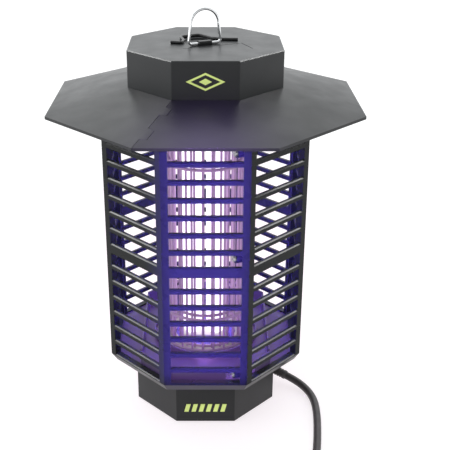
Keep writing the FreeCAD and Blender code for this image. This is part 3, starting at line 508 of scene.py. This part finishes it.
def make_lamp_tubes():
    """Two glass tubes with crimped feet and blown domes, joined by a short bridge under the domes."""
    tubes = []
    for side in (-1, 1):
        profile = [(0, 7.0), (1.2, 7.4), (2.6, 8.1), (4.5, TUBE_RADIUS)]
        straight = TUBE_HIGH - TUBE_LOW - TUBE_RADIUS
        for step in range(DOME_STEPS):
            turn = math.pi / 2 * step / DOME_STEPS
            profile.append((straight + TUBE_RADIUS * math.sin(turn), TUBE_RADIUS * math.cos(turn)))
        profile.append((straight + TUBE_RADIUS, 0.3))
        foot = (LAMP_MIDDLE + side * TUBE_SPACING / 2, 0, TUBE_LOW)
        tubes.append(lathe(foot, (0, 0, 1), profile))
    reach = TUBE_SPACING / 2 - TUBE_RADIUS + 1.5
    bridge = [(0, BRIDGE_RADIUS + 1.4), (1.0, BRIDGE_RADIUS + 0.3), (2.0, BRIDGE_RADIUS)]
    bridge += [(2 * reach - distance, radius) for distance, radius in reversed(bridge)]
    tubes.append(lathe((LAMP_MIDDLE - reach, 0, BRIDGE_LEVEL), (1, 0, 0), bridge))
    return add_piece("lamp_glass_tubes", joined(tubes), "lamp_tubes")


make_lamp_tubes()

# ---------------------------------------------------------------- things on the cord

BOOT_ROOT = (62.5, 5.6, 12.8)
BOOT_RIBS = 4
BOOT_FIRST_RIB, BOOT_RIB_PITCH = 0.28, 0.15  # shares of the taper's length
BOOT_WIDE, BOOT_TAPER = 4.7, 0.6
PLUG_RIBS, PLUG_FIRST_RIB, PLUG_RIB_PITCH = 3, 2.0, 2.6
PLUG_BOOT_WIDE, PLUG_BOOT_FLARE = 4.3, 0.16
PLUG_RIB_DEEP = 0.6
PLUG_MIDDLE_DROP = 0.2


def make_boot():
    """The strain relief: collar and flange in the wall, then a ribbed taper drooping to the floor."""
    collar = [(-5, 4.7), (-4.7, 5), (-0.2, 5), (0, 6.3), (0.3, 6.6), (1.5, 6.6), (1.8, 6.3), (1.9, 5.2),
              (3.0, 5.0), (3.4, 4.4)]
    root, tip = Vector(BOOT_ROOT), Vector(ROUTE[0])
    start = root + Vector((0.5, 0, 0))
    length = (tip - start).length
    cone = [(0, BOOT_WIDE)]
    for step in range(BOOT_RIBS):
        share = BOOT_FIRST_RIB + BOOT_RIB_PITCH * step
        width = BOOT_WIDE - BOOT_TAPER * share
        for aside, drop in ((0, 0), (0.35, 0.55), (1.05, 0.55), (1.4, 0)):
            cone.append((share * length + aside, width - drop))
    cone += [(length - 0.8, 4.15), (length - 0.2, 4.0), (length, 3.6)]
    shape = joined([lathe(root, (1, 0, 0), collar), lathe(start, tip - start, cone)])
    return add_piece("ribbed_boot", shape, "strain_relief")


def rounded_ring(centre, half_wide, half_high, corner, count=48):
    """A rounded rectangle across the X axis: a superellipse, squarer the higher corner is."""
    x, y, z = centre
    ring = []
    for step in range(count):
        angle = 2 * math.pi * step / count
        across, up = math.cos(angle), math.sin(angle)
        size = (abs(across) ** corner + abs(up) ** corner) ** (-1 / corner)
        ring.append((x, y + half_wide * across * size, z + half_high * up * size))
    return ring


def make_plug():
    """The plug's moulded body: a ribbed boot, then a waisted grip with a flat face for the blades."""
    x, y, z = TAIL[-1]
    level = z - PLUG_MIDDLE_DROP
    stations = [(0, 3.8, 3.8, 2), (0.4, 4.2, 4.2, 2)]
    for step in range(PLUG_RIBS):
        along = PLUG_FIRST_RIB + PLUG_RIB_PITCH * step
        wide = PLUG_BOOT_WIDE + PLUG_BOOT_FLARE * along
        groove = wide - PLUG_RIB_DEEP
        stations += [(along, wide, wide, 2), (along + 0.3, groove, groove, 2),
                     (along + 1.1, groove, groove, 2), (along + 1.4, wide, wide, 2)]
    stations += [(11.4, 7.2, 5.9, 2.4), (13.2, 10.4, 6.5, 3), (15.5, 11.7, 6.75, 4),
                 (18, 11.3, 6.6, 4.5), (23, 10.9, 6.4, 5), (28, 11.2, 6.6, 6), (31, 12.0, 6.8, 7),
                 (34.2, 12.0, 6.8, 7), (35, 11.3, 6.2, 7)]
    rings = [rounded_ring((x - along, y, level), wide, high, power)
             for along, wide, high, power in stations]
    return add_piece("moulded_plug", skin(rings), "plug_body")


plug = make_plug()
boot = make_boot()

# ---------------------------------------------------------------- stage and lights

FLOOR_HALF = 12.0
# painted light: the pink is a painted pool of the lamp's glow on the floor round the lantern
FLOOR_PAINTED_PINK, FLOOR_WHITE = (1.0, 0.81, 0.91), (1.0, 1.0, 1.0)
PAINTED_POOL_SQUEEZE, PAINTED_POOL_SHIFT = (2.2, 0.9, 0), (0, -0.315, 0)
PAINTED_POOL_FROM, PAINTED_POOL_TO = 0.1, 0.52


def make_stage():
    """A plain white floor with a glow of its own, and a painted pool of the lamp's pink light round the
    lantern.
    """
    mesh = bpy.data.meshes.new("floor")
    corners = [(x * FLOOR_HALF, y * FLOOR_HALF, 0) for x, y in ((-1, -1), (1, -1), (1, 1), (-1, 1))]
    mesh.from_pydata(corners, [], [(0, 1, 2, 3)])
    floor = link(bpy.data.objects.new("floor", mesh))
    material, nodes, shader = new_material("floor")
    set_inputs(shader, Base_Color=(0.4, 0.4, 0.4, 1), Roughness=0.9, Specular_IOR_Level=0.0,
               Emission_Strength=0.76)
    place = nodes.add("ShaderNodeTexCoord").outputs["Object"]
    squeezed = nodes.add("ShaderNodeVectorMath", operation="MULTIPLY_ADD")
    squeezed.inputs[1].default_value = PAINTED_POOL_SQUEEZE
    squeezed.inputs[2].default_value = PAINTED_POOL_SHIFT
    nodes.wire(place, squeezed.inputs[0])
    distance = nodes.add("ShaderNodeVectorMath", operation="LENGTH")
    nodes.wire(squeezed.outputs["Vector"], distance.inputs[0])
    # painted pool of the lamp's pink light, fading to white away from the lantern
    glow = ramp(nodes, distance.outputs["Value"], FLOOR_PAINTED_PINK, FLOOR_WHITE, PAINTED_POOL_FROM, PAINTED_POOL_TO)
    nodes.wire(glow, shader.inputs["Emission Color"])
    dress(floor, material)


def make_world():
    """Soft studio light all round: strongest from behind and above, so that the tops shine grey."""
    world = bpy.data.worlds.new("studio")
    bpy.context.scene.world = world
    world.use_nodes = True
    nodes = Nodes(world.node_tree)
    background = world.node_tree.nodes["Background"]
    direction = nodes.add("ShaderNodeTexCoord").outputs["Generated"]
    split = nodes.add("ShaderNodeSeparateXYZ")
    nodes.wire(direction, split.inputs[0])
    behind = ramp(nodes, split.outputs["Y"], 0.0, 1.4, -0.2, 0.85)
    raised = ramp(nodes, split.outputs["Z"], 0.55, 1.15, 0.3, 0.65)
    aside = nodes.maths("MULTIPLY", split.outputs["X"], -0.35)
    total = nodes.maths("ADD", nodes.maths("ADD", nodes.maths("MULTIPLY", behind, raised), aside), 0.65)
    nodes.wire(total, background.inputs["Strength"])
    background.inputs["Color"].default_value = (0.97, 0.99, 1.0, 1)


def aim(light, place, target):
    """Puts a light in its place and turns it towards a target."""
    light.location = place
    light.rotation_euler = (Vector(target) - Vector(place)).to_track_quat("-Z", "Y").to_euler()


def area_light(name, place, target, size, power, colour=(1, 1, 1), spread=180, lit=None, shadow=True):
    """A flat light, which only reaches the pieces in lit if that is given."""
    data = bpy.data.lights.new(name, "AREA")
    data.shape = "RECTANGLE"
    data.size, data.size_y = size
    data.energy = power
    data.color = colour
    data.spread = math.radians(spread)
    data.use_shadow = shadow
    light = link(bpy.data.objects.new(name, data))
    aim(light, place, target)
    light.visible_camera = False
    if lit:
        light.light_linking.receiver_collection = lit
    return light


def point_light(name, place, radius, power, colour, lit):
    """A round light that only reaches the pieces in lit and doesn't show in them."""
    data = bpy.data.lights.new(name, "POINT")
    data.energy = power
    data.color = colour
    data.shadow_soft_size = radius
    light = link(bpy.data.objects.new(name, data))
    light.location = place
    light.visible_camera = False
    light.visible_glossy = False
    light.light_linking.receiver_collection = lit
    return light


def pieces(name, *starts):
    """A collection of the pieces whose names start with any of these words."""
    group = bpy.data.collections.new(name)
    for item in bpy.data.objects:
        if item.type in ("MESH", "CURVE") and item.name.startswith(starts):
            group.objects.link(item)
    return group


VIOLET = (0.13, 0.07, 1.0)
FRONT_VIOLET = (0.16, 0.08, 1.0)
TRAY_VIOLET = (0.5, 0.22, 1.0)
ROOF_VIOLET = (0.45, 0.2, 1.0)
PINK = (0.85, 0.40, 1.0)
CAGE_MIDDLE = (0, 0, 0.17)
LAMP_LIGHTS, LAMP_LIGHT_LOW, LAMP_LIGHT_PITCH = 4, 0.085, 0.052


def make_room_lights():
    """Soft boxes at both sides, and boxes behind that catch the shell's and the slats' edges."""
    area_light("left_box", (-1.3, -0.5, 0.75), (0, 0, 0.2), (0.9, 1.1), 7)
    area_light("right_box", (1.3, -0.4, 0.7), (0, 0, 0.2), (0.9, 1.1), 2.5)
    shell = pieces("edge_receivers", "cap_shell", "base_housing", "cage_floor")
    slats = pieces("slat_receivers", "guard")
    for side in (-1, 1):
        area_light("edge_box%d" % (side + 1), (side * 1.1, 0.25, 1.15), CAGE_MIDDLE, (0.5, 0.5), 22,
                   lit=shell)
        area_light("slat_box%d" % (side + 1), (side * 1.28, 0.24, 0.99), CAGE_MIDDLE, (0.9, 0.4), 34,
                   lit=slats, shadow=False)


def make_lamp_lights():
    """The lamp's violet light on the cage, rods, tray, front panel and roof edge."""
    cage = pieces("violet_receivers", "guard", "cage_floor", "catch_tray", "top_deck")
    for step in range(LAMP_LIGHTS):
        level = LAMP_LIGHT_LOW + LAMP_LIGHT_PITCH * step
        point_light("violet_glow%d" % step, (0, 0, level), 0.03, 8.0, VIOLET, cage)
    wires = pieces("pink_receivers", "outer_electrode", "inner_electrode")
    area_light("wire_glow", (0, -0.45, 0.2), (0, 0, 0.165), (0.3, 0.3), 0.16, PINK, 60, wires,
               shadow=False)
    low = pieces("low_receivers", "catch_tray", "cage_floor")
    area_light("tray_glow", (0, -0.3, 0.35), (0, 0, 0.06), (0.1, 0.08), 1.7, TRAY_VIOLET, 36, low,
               shadow=False)
    front = pieces("front_receivers", "guard_front")
    glow = area_light("front_glow", (0, -0.45, 0.165), (0, 0, 0.168), (0.072, 0.215), 1.9,
                      FRONT_VIOLET, 5, front)
    glow.visible_glossy = False
    roof = pieces("roof_receivers", "roof")
    area_light("roof_glow", (0, -0.3, 0.42), (0, -0.122, 0.284), (0.05, 0.01), 0.10, ROOF_VIOLET, 30,
               roof)


make_stage()
make_world()
bpy.context.scene.view_settings.view_transform = "Standard"
make_room_lights()
make_lamp_lights()
